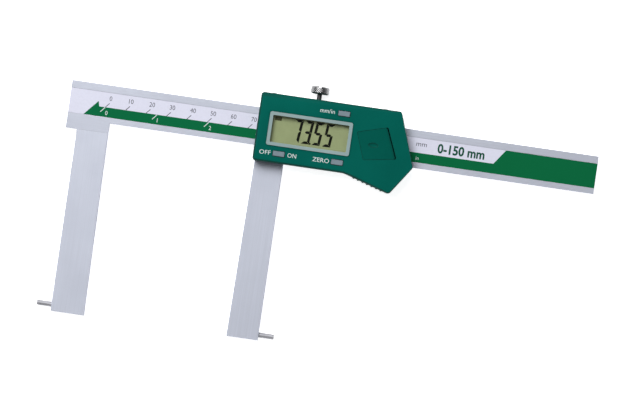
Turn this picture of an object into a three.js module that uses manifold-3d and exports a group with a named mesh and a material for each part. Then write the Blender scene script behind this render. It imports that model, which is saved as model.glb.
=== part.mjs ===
// Digital inside-groove caliper, lying on its back with the display up.
//
// Millimetres. +X runs along the beam, +Y lies in the display's plane and points away from the measuring
// legs, and +Z comes out of the display. While the pieces are made, X = 0 is the scale's zero mark, Y = 0 is
// the beam's top edge and Z = 0 is the plane the caliper rests on. The group is then moved sideways, so that
// the origin is at the middle of the object's footprint.

import * as THREE from 'three';
import { mergeVertices } from 'three/addons/utils/BufferGeometryUtils.js';
import Module from 'manifold-3d';

const wasm = await Module();
wasm.setup();

// ---------------------------------------------------------------- driving dimensions

// Beam
const BEAM_LEFT = -17.7;
const BEAM_RIGHT = 240.5;
const BEAM_BOTTOM = -18.5;
const BEAM_BACK_Z = 1.6;
const BEAM_FRONT_Z = 5.6;
const FOOT_RIGHT = 3.2;
const FOOT_BOTTOM = -23.3;

// Groove along the beam's face, with the capacitive grid strip and the printed label in it
const GROOVE_TOP = -3.6;
const GROOVE_BOTTOM = -15.7;
const GROOVE_FLOOR_Z = 4.4;
const GRID_FRONT_Z = 5.35;
const LABEL_FRONT_Z = 5.55;
const STRIP_SIDE_GAP = 0.05;

// Measuring legs
const LEG_THICKNESS = 5.6;
const LEG_BEVEL = 0.3;
const FIXED_LEG_OUTER = -12.2;
const FIXED_LEG_INNER_TIP = 4.2;
const FIXED_LEG_BOTTOM = -112.5;
const FIXED_LAP_TOP = -4.0;
const MOVING_LEG_OUTER = 89.5;
const MOVING_LEG_INNER_TOP = 75.4;
const MOVING_LEG_INNER_TIP = 74.0;
const MOVING_LEG_BOTTOM = -112.3;

// Measuring pins
const PIN_RADIUS = 1.25;
const PIN_Z = LEG_THICKNESS / 2;
const PIN_CHAMFER = 0.3;
const PIN_HOLE_RADIUS = 1.3;
const PIN_SINK_RADIUS = 2.0;
const PIN_SINK_DEPTH = 0.7;
const PIN_SEATED_LENGTH = 8.0;
const FIXED_PIN_TIP = -19.4;
const FIXED_PIN_Y = -109.3;
const MOVING_PIN_TIP = 97.0;
const MOVING_PIN_Y = -109.6;

// Slider frame: a steel channel around the beam
const FRAME_LEFT = 75.6;
const FRAME_RIGHT = 142.5;
const FRAME_TOP = 6.0;
const FRAME_BOTTOM = -25.0;
const FRAME_BACK_WALL = 1.5;
const FRAME_FRONT_Z = 6.5;
const RUNNING_GAP = 0.1;
const TOP_LIP_EDGE = -2.4;
const BOTTOM_LIP_EDGE = -16.6;
const GIB_THICKNESS = 1.2;
const GIB_INSET = 1.4;
const TOP_RAIL_EDGE = 1.4;
const FRAME_BORE_START = 0.5;

// Slider travel that the end stop sets, from where the slider stands on the scale
const TRAVEL_RIGHT = 80.45;
const STOP_LENGTH = 15.0;
const STOP_HEIGHT = 10.5;
const STOP_BACK_Z = 0.1;
const STOP_SCREW_INSET = 4.5;
const STOP_SCREW = { head: 1.5, headHeight: 0.7, shank: 0.8, length: 3.6, sink: 0.05, slotDepth: 0.35 };
const STOP_SCREW_HOLE = { radius: 0.9, frontZ: 4.0, headGap: 0.1 };

// Housing
const HOUSING_CORNERS = [
  [74.2, -26.0],
  [119.0, -26.0],
  [142.1, -33.0],
  [151.9, -18.7],
  [142.7, 7.5],
  [74.2, 7.5],
];
const HOUSING_CORNER_RADII = [1.5, 12.0, 1.9, 1.5, 1.5, 1.6];
const HOUSING_BACK_Z = 1.0;
const HOUSING_FRONT_Z = 15.0;
const HOUSING_BEVEL = 1.3;
const TOP_CHAMFER = { edgeY: 5.4, degrees: 25 };
const FRONT_FOLD = { top: [121.0, 0], bottom: [126.5, -17.0], degrees: 1.2 };
const FRONT_WALL = 1.8;
const SIDE_WALL = 1.5;
const BOSS_RADIUS = 2.0;
const BOSS_HOLE_FRONT_Z = 10.4;
const BEAM_CLEARANCE = 0.2;
const LEG_CLEARANCE = 0.15;
const LOCK_HOLE_RADIUS = 1.6;
const GRIP_POCKET_FRONT_Z = 11.0;
const GRIP_WEB = { left: 134.0, right: 135.2 };
const GRIP_POCKET_LEFT = 124.0;
const GRIP_RIB_COUNT = 7;
const GRIP_RIB_RADIUS = 0.6;
const GRIP_RIB_RISE = 0.4;
const GRIP_RIB_SHARES = { first: 0.22, last: 0.82 };
const GRIP_RIB_SHORTFALL = 0.4;

// Display
const BEZEL = { left: 79.8, right: 120.2, bottom: -17.6, top: -1.3 };
const BEZEL_FRONT_Z = 15.4;
const BEZEL_BACK_Z = 12.3;
const BEZEL_FACE = 1.6;
const BEZEL_FLANGE = 0.9;
const BEZEL_REBATE = 0.9;
const BEZEL_REBATE_Z = 14.0;
const DISPLAY_GAP = 0.1;
const WINDOW_THICKNESS = 1.0;
const LCD_INSET = 0.8;
const LCD_BACK_Z = 10.2;
const LCD_FRONT_Z = 12.1;
const ZEBRA = { width: 1.4, inset: 1.6, endInset: 2.0 };

// Board
const BOARD = { left: 76.8, right: 121.5, bottom: -24.0, top: 5.0 };
const BOARD_BACK_Z = 6.6;
const BOARD_FRONT_Z = 7.8;
const BOSS_HOLE_RADIUS = 2.3;
const DOME_RADIUS = 2.0;
const DOME_HEIGHT = 0.4;
const CONTROLLER = { centre: [100.0, -9.5], radius: 5.0, height: 1.6 };

// Buttons: centres of the caps on the front
const BUTTONS = {
  power: [86.6, -21.3],
  zero: [115.05, -21.3],
  unit: [115.2, 2.45],
};
const CAP_WIDTH = 5.7;
const CAP_HEIGHT = 2.5;
const CAP_FRONT_Z = 15.35;
const CAP_SLOT_GAP = 0.25;
const CAP_ROUNDING = 0.4;
const CAP_BEVEL = 0.25;
const BUTTON_FLANGE = 0.75;
const BUTTON_FLANGE_THICKNESS = 0.8;
const BUTTON_FLANGE_GAP = 0.2;
const BUTTON_STEM = { width: 2.0, height: 1.6 };
const BUTTON_STEM_BACK_Z = 8.65;

// Battery and its cover
const BATTERY_CENTRE = [132.8, -9.6];
const BATTERY_RADIUS = 5.8;
const BATTERY_BACK_Z = 8.1;
const BATTERY_HEIGHT = 5.4;
const BATTERY_ROUNDING = 0.3;
const BATTERY_CAP = { radius: 4.6, rise: 0.4 };
const CONTACT_THICKNESS = 0.25;
const CONTACT_GAP = 0.06;
const CONTACT_BOARD_LAP = 2.5;
const NEGATIVE_CONTACT = { reach: 2.5, halfWidth: 1.4 };
const POSITIVE_CONTACT = { near: 2.6, far: 4.8, footFrontZ: 8.03, frontZ: 12.2 };
const CONTACT_SLOTS = { left: 8.0, sideRight: 3.5, floorFrontZ: 8.3, sideFrontZ: 12.6, clearance: 0.3 };
const WELL_RADIUS = 6.1;
const WELL_WALL = 0.9;
const WELL_FLOOR_Z = 7.75;
const WELL_BACK_Z = 6.9;
const COVER_CORNERS = [
  [127.5, -18.2],
  [142.7, -15.7],
  [136.7, -1.3],
  [122.75, -5.3],
];
const COVER_ROUNDING = 0.6;
const COVER_THICKNESS = 1.3;
const COVER_CHAMFER = { width: 1.1, degrees: 14 };
const COVER_DIMPLE = { centre: [131.3, -10.6], halfWidth: 2.5, halfHeight: 1.2, depth: 0.4 };
const COVER_GAP = 0.18;
const COVER_NAIL_GAP = 0.65;
const COVER_SEAT_Z = 13.5;
const NAIL_SLOT_FLOOR_Z = 11.2;
const NAIL_SLOT_WALL = 0.8;
const COVER_LUG = { length: 0.65, width: 2.0, height: 0.4, root: 1.0, pocketGap: 0.2 };
const COVER_LUG_SHARES = [0.25, 0.75];

// Lock screw and gib screws
const LOCK_X = 102.1;
const LOCK_Z = 4.6;
const LOCK_TIP_Y = 2.5;
const LOCK_TIP_CHAMFER = 0.3;
const LOCK_THREAD_RADIUS = 1.25;
const LOCK_THREAD_END_Y = 6.4;
const LOCK_NECK_RADIUS = 1.2;
const LOCK_BORE_RADIUS = 1.35;
const KNOB_BACK_Y = 10.2;
const KNOB_FRONT_Y = 14.1;
const KNOB_RADIUS = 4.55;
const KNURL_COUNT = 36;
const KNURL_DEPTH = 0.3;
const KNOB_ROUNDING = 1.1;
const KNOB_SLOT = { width: 0.9, depth: 0.6 };
const PAD_RADIUS = 1.1;
const PAD_BACK_Y = 1.65;
const PAD_FRONT_Y = 2.45;
const GIB_SCREW_XS = { left: 80.5, right: 135.0 };
const GIB_SCREW_Z = 3.6;
const GIB_SCREW_RADIUS = 1.0;
const GIB_SCREW_END_Y = 7.85;

// Small screws
const HOUSING_SCREWS = {
  upper_left: [84.8, 3.7],
  upper_right: [139.2, 3.7],
  lower_left: [79.4, -21.9],
  lower_right: [139.2, -21.9],
};
const HOUSING_SCREW = { headZ: 0.2, headHeight: 1.0, tipZ: 10.0, head: 1.5, shank: 0.8, up: 1 };
const HOUSING_SCREW_POCKET = { gap: 0.15, frontZ: 1.3 };
const BOARD_SCREWS = { upper: [95.0, 3.2], lower: [101.0, -21.9] };
const BOARD_SCREW = { headZ: 8.6, headHeight: 0.8, tipZ: 4.2, head: 1.3, shank: 0.7, up: -1 };
const BOARD_SCREW_HOLE_Z = 4.0;
const SCREW_HOLE_GAP = 0.1;
const THREAD_GAP = 0.05;
const SCREW_SLOT_WIDTH = 0.4;
const SCREW_SLOT_DEPTH = 0.6;
const CROSS_RECESS = { armShare: 0.6, depth: 0.5 };
const PAN_HEAD_TAPER = 0.25;

const FAR = 400;

// ---------------------------------------------------------------- solids

/** Makes a solid, which can be joined and cut, from a closed geometry. */
function solid(geometry) {
  const bare = geometry.clone();
  bare.deleteAttribute('normal');
  bare.deleteAttribute('uv');
  const merged = mergeVertices(bare, 1e-5);
  const index = merged.index.array;
  const kept = [];
  for (let i = 0; i < index.length; i += 3) {
    const [a, b, c] = [index[i], index[i + 1], index[i + 2]];
    if (a !== b && b !== c && c !== a) kept.push(a, b, c);
  }
  const vertProperties = new Float32Array(merged.attributes.position.array);
  const triVerts = new Uint32Array(kept);
  return new wasm.Manifold(new wasm.Mesh({ numProp: 3, vertProperties, triVerts }));
}

/** Turns a finished solid back into a geometry. */
function geometryOf(body) {
  const mesh = body.getMesh();
  const geometry = new THREE.BufferGeometry();
  geometry.setAttribute('position', new THREE.BufferAttribute(new Float32Array(mesh.vertProperties), 3));
  geometry.setIndex(new THREE.BufferAttribute(new Uint32Array(mesh.triVerts), 1));
  geometry.computeVertexNormals();
  return geometry;
}

/** A box between two values on each axis. */
function box([x0, x1], [y0, y1], [z0, z1]) {
  const geometry = new THREE.BoxGeometry(x1 - x0, y1 - y0, z1 - z0);
  geometry.translate((x0 + x1) / 2, (y0 + y1) / 2, (z0 + z1) / 2);
  return solid(geometry);
}

/** A round bar from one point to another, or a cone where the two radii differ. */
function rod(start, end, radius, endRadius = radius, segments = 24) {
  const from = new THREE.Vector3(...start);
  const to = new THREE.Vector3(...end);
  const geometry = new THREE.CylinderGeometry(endRadius, radius, from.distanceTo(to), segments);
  const direction = to.clone().sub(from).normalize();
  geometry.applyQuaternion(new THREE.Quaternion().setFromUnitVectors(new THREE.Vector3(0, 1, 0), direction));
  const middle = from.add(to).multiplyScalar(0.5);
  geometry.translate(middle.x, middle.y, middle.z);
  return solid(geometry);
}

/** A piece turned from a profile of [radius, height] points, standing on a point along +Z or along +Y. */
function turned(profile, [x, y, z], axis = 'z', segments = 32) {
  const points = profile.map(([radius, height]) => new THREE.Vector2(radius, height));
  const geometry = new THREE.LatheGeometry(points, segments);
  if (axis === 'z') geometry.rotateX(Math.PI / 2);
  geometry.translate(x, y, z);
  return solid(geometry);
}

/** The corner that two lines meet in, each line given by a point and a direction. */
function meet([px, py], [dx, dy], [qx, qy], [ex, ey]) {
  const along = ((qx - px) * ey - (qy - py) * ex) / (dx * ey - dy * ex);
  return [px + along * dx, py + along * dy];
}

/** Moves each edge of an anticlockwise outline outwards; edge i runs from corner i to the next corner. */
function offset(corners, distances) {
  const count = corners.length;
  const edges = corners.map((corner, i) => {
    const next = corners[(i + 1) % count];
    const step = [next[0] - corner[0], next[1] - corner[1]];
    const length = Math.hypot(...step);
    const distance = Array.isArray(distances) ? distances[i] : distances;
    const moved = [corner[0] + (step[1] / length) * distance, corner[1] - (step[0] / length) * distance];
    return { moved, step };
  });
  return edges.map((edge, i) => {
    const before = edges[(i + count - 1) % count];
    return meet(before.moved, before.step, edge.moved, edge.step);
  });
}

/** A closed shape through the corners of an anticlockwise outline, each rounded to its own radius. */
function roundedShape(corners, radii) {
  const shape = new THREE.Shape();
  const count = corners.length;
  corners.forEach((corner, i) => {
    const radius = Array.isArray(radii) ? radii[i] : radii;
    const here = new THREE.Vector2(...corner);
    const back = new THREE.Vector2(...corners[(i + count - 1) % count]).sub(here).normalize();
    const ahead = new THREE.Vector2(...corners[(i + 1) % count]).sub(here).normalize();
    const halfAngle = Math.acos(back.dot(ahead)) / 2;
    const start = here.clone().addScaledVector(back, radius / Math.tan(halfAngle));
    const end = here.clone().addScaledVector(ahead, radius / Math.tan(halfAngle));
    if (i === 0) shape.moveTo(start.x, start.y);
    else shape.lineTo(start.x, start.y);
    if (radius > 0) {
      const middle = here.clone().addScaledVector(back.clone().add(ahead).normalize(),
        radius / Math.sin(halfAngle));
      const clockwise = back.cross(ahead) > 0;
      const [from, to] = [start, end].map((point) => Math.atan2(point.y - middle.y, point.x - middle.x));
      shape.absarc(middle.x, middle.y, radius, from, to, clockwise);
    }
  });
  shape.closePath();
  return shape;
}

/** A plate of one outline between two heights, with its edges bevelled if asked. */
function plate(corners, [z0, z1], { radii = 0, bevel = 0 } = {}) {
  const geometry = new THREE.ExtrudeGeometry(roundedShape(corners, radii), {
    depth: z1 - z0 - 2 * bevel,
    curveSegments: 8,
    bevelEnabled: bevel > 0,
    bevelSegments: bevel > 1 ? 5 : 1,
    bevelSize: bevel,
    bevelThickness: bevel,
    bevelOffset: -bevel,
  });
  geometry.translate(0, 0, z0 + bevel);
  return solid(geometry);
}

/** All the space above a plane that holds a level line and dips by an angle to the line's left. */
function aboveSlope([x0, y0], [x1, y1], z, degrees) {
  const along = new THREE.Vector3(x1 - x0, y1 - y0, 0).normalize();
  const dip = new THREE.Matrix4().makeRotationAxis(along, -THREE.MathUtils.degToRad(degrees));
  const geometry = new THREE.BoxGeometry(2 * FAR, 2 * FAR, FAR);
  geometry.translate(0, 0, FAR / 2);
  geometry.applyMatrix4(dip);
  geometry.translate(x0, y0, z);
  return solid(geometry);
}

/** The corners of an upright rectangle, anticlockwise, grown on every side if asked. */
function rectangle({ left, right, bottom, top }, grow = 0) {
  return [
    [left - grow, bottom - grow],
    [right + grow, bottom - grow],
    [right + grow, top + grow],
    [left - grow, top + grow],
  ];
}

/** A rectangle around a centre. */
function around([x, y], width, height) {
  return { left: x - width / 2, right: x + width / 2, bottom: y - height / 2, top: y + height / 2 };
}

/** Joins a list of solids. */
function join(...bodies) {
  return bodies.reduce((whole, body) => whole.add(body));
}

/** Cuts each of the later solids from the first. */
function cut(body, ...tools) {
  return tools.reduce((rest, tool) => rest.subtract(tool), body);
}

// ---------------------------------------------------------------- beam and legs

function makeBeam(stopScrews) {
  const bar = box([BEAM_LEFT, BEAM_RIGHT], [BEAM_BOTTOM, 0], [BEAM_BACK_Z, BEAM_FRONT_Z]);
  const foot = box([BEAM_LEFT, FOOT_RIGHT], [FOOT_BOTTOM, BEAM_BOTTOM + 1], [BEAM_BACK_Z, BEAM_FRONT_Z]);
  const groove = box([-FAR, FAR], [GROOVE_BOTTOM, GROOVE_TOP], [GROOVE_FLOOR_Z, FAR]);
  const { radius, frontZ } = STOP_SCREW_HOLE;
  const tapped = stopScrews.map(([x, y]) => rod([x, y, 0], [x, y, frontZ], radius, radius, 16));
  return cut(join(bar, foot), groove, ...tapped);
}

/** A flat strip that lies in the beam's groove between two heights. */
function makeStrip(z0, z1) {
  const [bottom, top] = [GROOVE_BOTTOM + STRIP_SIDE_GAP, GROOVE_TOP - STRIP_SIDE_GAP];
  return box([BEAM_LEFT, BEAM_RIGHT], [bottom, top], [z0, z1]);
}

/** The hole that a pin is pressed into, with its countersink, along X from the leg's outer edge. */
function pinHole(edge, y, inwards) {
  const at = (depth) => [edge + inwards * depth, y, PIN_Z];
  const bore = rod(at(-1), at(PIN_SEATED_LENGTH + 0.2), PIN_HOLE_RADIUS);
  const sink = rod(at(-0.01), at(PIN_SINK_DEPTH), PIN_SINK_RADIUS, PIN_HOLE_RADIUS);
  return join(bore, sink);
}

/** A round pin with chamfered ends, along X. */
function makePin(tip, edge, y, inwards) {
  const at = (x) => [x, y, PIN_Z];
  const seat = edge + inwards * PIN_SEATED_LENGTH;
  const chamferRadius = PIN_RADIUS - PIN_CHAMFER;
  return join(
    rod(at(tip), at(tip + inwards * PIN_CHAMFER), chamferRadius, PIN_RADIUS),
    rod(at(tip + inwards * PIN_CHAMFER), at(seat), PIN_RADIUS),
  );
}

function makeFixedLeg() {
  const leg = plate(
    [
      [FIXED_LEG_OUTER, FIXED_LEG_BOTTOM],
      [FIXED_LEG_INNER_TIP, FIXED_LEG_BOTTOM],
      [FOOT_RIGHT, FOOT_BOTTOM + LEG_BEVEL],
      [FIXED_LEG_OUTER, FOOT_BOTTOM + LEG_BEVEL],
    ],
    [0, LEG_THICKNESS],
    { bevel: LEG_BEVEL },
  );
  const squareTop = box([-FAR, FAR], [FOOT_BOTTOM, FAR], [-FAR, FAR]);
  const lapHeights = [0, BEAM_BACK_Z];
  const lap = box([BEAM_LEFT, FOOT_RIGHT], [FOOT_BOTTOM, FIXED_LAP_TOP], lapHeights);
  const root = box([FIXED_LEG_OUTER + 1, FOOT_RIGHT - 1], [FOOT_BOTTOM - 1, FOOT_BOTTOM + 1], lapHeights);
  return cut(join(leg.subtract(squareTop), lap, root), pinHole(FIXED_LEG_OUTER, FIXED_PIN_Y, 1));
}

function makeMovingLeg() {
  const leg = plate(
    [
      [MOVING_LEG_INNER_TIP, MOVING_LEG_BOTTOM],
      [MOVING_LEG_OUTER, MOVING_LEG_BOTTOM],
      [MOVING_LEG_OUTER, FRAME_BOTTOM + LEG_BEVEL],
      [MOVING_LEG_INNER_TOP, FRAME_BOTTOM + LEG_BEVEL],
    ],
    [0, LEG_THICKNESS],
    { bevel: LEG_BEVEL },
  );
  const squareTop = box([-FAR, FAR], [FRAME_BOTTOM, FAR], [-FAR, FAR]);
  return cut(leg, squareTop, pinHole(MOVING_LEG_OUTER, MOVING_PIN_Y, -1));
}

// ---------------------------------------------------------------- end stop

const STOP_LEFT = FRAME_RIGHT + TRAVEL_RIGHT + RUNNING_GAP;
const STOP_SCREW_Y = BEAM_BOTTOM / 2;
const STOP_SCREWS = [
  [STOP_LEFT + STOP_SCREW_INSET, STOP_SCREW_Y],
  [STOP_LEFT + STOP_LENGTH - STOP_SCREW_INSET, STOP_SCREW_Y],
];

/** A countersunk screw with its head towards -Z, or the hole for it when grown a little. */
function countersunk([x, y], grow = 0) {
  const { head, headHeight, shank, length, sink } = STOP_SCREW;
  const profile = [
    [0, 0],
    [head + grow, 0],
    [shank + grow, headHeight + grow],
    [shank + grow, length + grow],
    [0, length + grow],
  ];
  return turned(profile, [x, y, STOP_BACK_Z + sink - grow], 'z', 16);
}

function makeStopScrew([x, y]) {
  const { head, sink, slotDepth } = STOP_SCREW;
  const half = SCREW_SLOT_WIDTH / 2;
  const floor = STOP_BACK_Z + sink + slotDepth;
  return countersunk([x, y]).subtract(box([x - head, x + head], [y - half, y + half], [-FAR, floor]));
}

function makeEndStop() {
  const strip = { left: STOP_LEFT, right: STOP_LEFT + STOP_LENGTH };
  const outline = { ...strip, bottom: STOP_SCREW_Y - STOP_HEIGHT / 2, top: STOP_SCREW_Y + STOP_HEIGHT / 2 };
  const bar = plate(rectangle(outline), [STOP_BACK_Z, BEAM_BACK_Z], { radii: 0.8 });
  return cut(bar, ...STOP_SCREWS.map((place) => countersunk(place, STOP_SCREW_HOLE.headGap)));
}

// ---------------------------------------------------------------- slider frame, gib and screws

function makeSliderFrame() {
  const block = box([FRAME_LEFT, FRAME_RIGHT], [FRAME_BOTTOM, FRAME_TOP], [0, FRAME_FRONT_Z]);
  const channelBottom = BEAM_BOTTOM - RUNNING_GAP;
  const channelFront = BEAM_FRONT_Z + RUNNING_GAP;
  const channel = box([-FAR, FAR], [channelBottom, TOP_RAIL_EDGE], [FRAME_BACK_WALL, channelFront]);
  const mouth = box([-FAR, FAR], [BOTTOM_LIP_EDGE, TOP_LIP_EDGE], [FRAME_BACK_WALL, FAR]);
  const start = FRAME_BORE_START;
  const lockBore = rod([LOCK_X, start, LOCK_Z], [LOCK_X, FAR, LOCK_Z], LOCK_BORE_RADIUS);
  const gibBoreRadius = GIB_SCREW_RADIUS + THREAD_GAP;
  const gibBores = Object.values(GIB_SCREW_XS).map((x) =>
    rod([x, start, GIB_SCREW_Z], [x, FAR, GIB_SCREW_Z], gibBoreRadius, undefined, 16));
  const { gap, frontZ } = HOUSING_SCREW_POCKET;
  const housingHoles = Object.values(HOUSING_SCREWS).flatMap(([x, y]) => [
    rod([x, y, -1], [x, y, FAR], HOUSING_SCREW.shank + SCREW_HOLE_GAP, undefined, 16),
    rod([x, y, -1], [x, y, frontZ], HOUSING_SCREW.head + gap, undefined, 20),
  ]);
  const boardHoles = Object.values(BOARD_SCREWS).map(([x, y]) =>
    rod([x, y, BOARD_SCREW_HOLE_Z], [x, y, FAR], BOARD_SCREW.shank + THREAD_GAP, undefined, 16));
  return cut(block, channel, mouth, lockBore, ...gibBores, ...housingHoles, ...boardHoles);
}

function makeGibStrip() {
  const gap = RUNNING_GAP;
  return box(
    [FRAME_LEFT + GIB_INSET, FRAME_RIGHT - GIB_INSET],
    [gap, gap + GIB_THICKNESS],
    [BEAM_BACK_Z + gap, BEAM_FRONT_Z - gap],
  );
}

function makeGibScrew(x) {
  const start = RUNNING_GAP + GIB_THICKNESS + 0.02;
  const shank = rod([x, start, GIB_SCREW_Z], [x, GIB_SCREW_END_Y, GIB_SCREW_Z], GIB_SCREW_RADIUS);
  const half = SCREW_SLOT_WIDTH / 2;
  const slotFloor = GIB_SCREW_END_Y - SCREW_SLOT_DEPTH;
  return shank.subtract(box([x - 2, x + 2], [slotFloor, FAR], [GIB_SCREW_Z - half, GIB_SCREW_Z + half]));
}

/** A pan-head screw with a cross recess; the head is at the low end when up is 1, and at the top for -1. */
function makePanScrew([x, y], { headZ, headHeight, tipZ, head, shank, up }) {
  const neckZ = headZ + up * headHeight;
  const pan = rod([x, y, headZ], [x, y, neckZ], head - PAN_HEAD_TAPER, head, 20);
  const stem = rod([x, y, neckZ - up * 0.01], [x, y, tipZ], shank, undefined, 16);
  const recess = [headZ - up, headZ + up * CROSS_RECESS.depth].sort((a, b) => a - b);
  const arm = head * CROSS_RECESS.armShare;
  const half = SCREW_SLOT_WIDTH / 2;
  const crossX = box([x - arm, x + arm], [y - half, y + half], recess);
  const crossY = box([x - half, x + half], [y - arm, y + arm], recess);
  return cut(join(pan, stem), crossX, crossY);
}

// ---------------------------------------------------------------- lock screw

function makeLockScrew() {
  const shaft = turned(
    [
      [0, LOCK_TIP_Y],
      [LOCK_THREAD_RADIUS - LOCK_TIP_CHAMFER, LOCK_TIP_Y],
      [LOCK_THREAD_RADIUS, LOCK_TIP_Y + LOCK_TIP_CHAMFER],
      [LOCK_THREAD_RADIUS, LOCK_THREAD_END_Y],
      [LOCK_NECK_RADIUS, LOCK_THREAD_END_Y + 0.2],
      [LOCK_NECK_RADIUS, KNOB_BACK_Y + 0.5],
      [0, KNOB_BACK_Y + 0.5],
    ],
    [LOCK_X, 0, LOCK_Z],
    'y',
    24,
  );
  const knurl = new THREE.Shape();
  for (let i = 0; i < 2 * KNURL_COUNT; i += 1) {
    const angle = (i * Math.PI) / KNURL_COUNT;
    const radius = KNOB_RADIUS - (i % 2) * KNURL_DEPTH;
    knurl[i === 0 ? 'moveTo' : 'lineTo'](radius * Math.cos(angle), radius * Math.sin(angle));
  }
  knurl.closePath();
  const depth = KNOB_FRONT_Y - KNOB_BACK_Y;
  const disc = new THREE.ExtrudeGeometry(knurl, { depth, bevelEnabled: false });
  disc.rotateX(-Math.PI / 2);
  disc.translate(LOCK_X, KNOB_BACK_Y, LOCK_Z);
  const rounding = (y, turns) => {
    const angle = (turns * Math.PI) / 2;
    const radius = KNOB_RADIUS + 0.01 - KNOB_ROUNDING * (1 - Math.cos(angle));
    return [radius, y + KNOB_ROUNDING * Math.sin(angle)];
  };
  const envelope = turned(
    [
      [0, KNOB_BACK_Y],
      ...[-1, -0.75, -0.5, -0.25, 0].map((turns) => rounding(KNOB_BACK_Y + KNOB_ROUNDING, turns)),
      ...[0, 0.25, 0.5, 0.75, 1].map((turns) => rounding(KNOB_FRONT_Y - KNOB_ROUNDING, turns)),
      [0, KNOB_FRONT_Y],
    ],
    [LOCK_X, 0, LOCK_Z],
    'y',
    KNURL_COUNT,
  );
  const half = KNOB_SLOT.width / 2;
  const slot = box([LOCK_X - half, LOCK_X + half], [KNOB_FRONT_Y - KNOB_SLOT.depth, FAR], [-FAR, FAR]);
  return join(shaft, cut(solid(disc).intersect(envelope), slot));
}

function makeLockPad() {
  return rod([LOCK_X, PAD_BACK_Y, LOCK_Z], [LOCK_X, PAD_FRONT_Y, LOCK_Z], PAD_RADIUS, undefined, 20);
}

// ---------------------------------------------------------------- housing

const COVER_OPENING = offset(COVER_CORNERS, [COVER_GAP, COVER_NAIL_GAP, COVER_GAP, COVER_GAP]);
const GRIP_EDGE = { start: HOUSING_CORNERS[1], end: HOUSING_CORNERS[2] };

/** Unit vectors along a line between two corners and across it, to its right. */
function directions([x0, y0], [x1, y1]) {
  const length = Math.hypot(x1 - x0, y1 - y0);
  const along = [(x1 - x0) / length, (y1 - y0) / length];
  return { along, across: [along[1], -along[0]], length };
}

/** Cuts the front to its shape: it falls away gently beyond the fold beside the display. */
function trimFront(body) {
  const { top, bottom, degrees } = FRONT_FOLD;
  return body.subtract(aboveSlope(top, bottom, HOUSING_FRONT_Z, degrees));
}

/** How far below the housing's highest level its front lies at a point beyond the fold. */
function frontFall([x, y]) {
  const { top, bottom, degrees } = FRONT_FOLD;
  const { along } = directions(top, bottom);
  const distance = (y - top[1]) * along[0] - (x - top[0]) * along[1];
  return distance * Math.tan(THREE.MathUtils.degToRad(degrees));
}

/** Upright ribs along the slanted edge that the thumb pushes. */
function makeGripRibs() {
  const { along, across, length } = directions(GRIP_EDGE.start, GRIP_EDGE.end);
  const sink = GRIP_RIB_RISE - GRIP_RIB_RADIUS;
  const front = HOUSING_FRONT_Z - HOUSING_BEVEL - GRIP_RIB_SHORTFALL;
  const { first, last } = GRIP_RIB_SHARES;
  return Array.from({ length: GRIP_RIB_COUNT }, (_, i) => {
    const reach = length * (first + ((last - first) * i) / (GRIP_RIB_COUNT - 1));
    const x = GRIP_EDGE.start[0] + along[0] * reach + across[0] * sink;
    const y = GRIP_EDGE.start[1] + along[1] * reach + across[1] * sink;
    return rod([x, y, HOUSING_BACK_Z], [x, y, front], GRIP_RIB_RADIUS, undefined, 12);
  });
}

/** Two lightening pockets in the back of the grip, with a web between them. */
function makeGripPockets() {
  const inner = offset(HOUSING_CORNERS, -SIDE_WALL);
  const hollow = plate(inner, [-1, GRIP_POCKET_FRONT_Z]);
  const clear = FRAME_BOTTOM - RUNNING_GAP - SIDE_WALL;
  const left = box([GRIP_POCKET_LEFT, GRIP_WEB.left], [-FAR, clear], [-FAR, FAR]);
  const right = box([GRIP_WEB.right, FAR], [-FAR, clear], [-FAR, FAR]);
  return [hollow.intersect(left), hollow.intersect(right)];
}

/** The outline of the slot along the cover's right edge that a fingernail goes into. */
function makeNailSlotShape() {
  const [lower, upper] = [COVER_CORNERS[1], COVER_CORNERS[2]];
  const [outerLower, outerUpper] = [COVER_OPENING[1], COVER_OPENING[2]];
  return [lower, outerLower, outerUpper, upper];
}

/** The lugs under the cover's left edge, or the pockets for them when grown a little. */
function makeCoverLugs(grow = 0) {
  const [top, bottom] = [COVER_CORNERS[3], COVER_CORNERS[0]];
  const { along, across, length } = directions(top, bottom);
  const z0 = HOUSING_FRONT_Z - COVER_THICKNESS;
  return COVER_LUG_SHARES.map((share) => {
    const middle = [top[0] + along[0] * length * share, top[1] + along[1] * length * share];
    const half = COVER_LUG.width / 2 + grow;
    const corner = (run, reach) => [
      middle[0] + along[0] * run + across[0] * reach,
      middle[1] + along[1] * run + across[1] * reach,
    ];
    const [root, reach] = [-COVER_LUG.root, COVER_LUG.length + grow];
    const outline = [corner(-half, root), corner(-half, reach), corner(half, reach), corner(half, root)];
    return plate(outline.reverse(), [z0 - grow, z0 + COVER_LUG.height + grow]);
  });
}

/** The outside of the housing: a bevelled block with a chamfered top edge and a folded front. */
function makeHousingBlock() {
  const block = plate(HOUSING_CORNERS, [-2 * HOUSING_BEVEL, HOUSING_FRONT_Z], {
    radii: HOUSING_CORNER_RADII,
    bevel: HOUSING_BEVEL,
  });
  const { edgeY, degrees } = TOP_CHAMFER;
  return trimFront(block).subtract(aboveSlope([0, edgeY], [1, edgeY], HOUSING_FRONT_Z, degrees));
}

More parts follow.
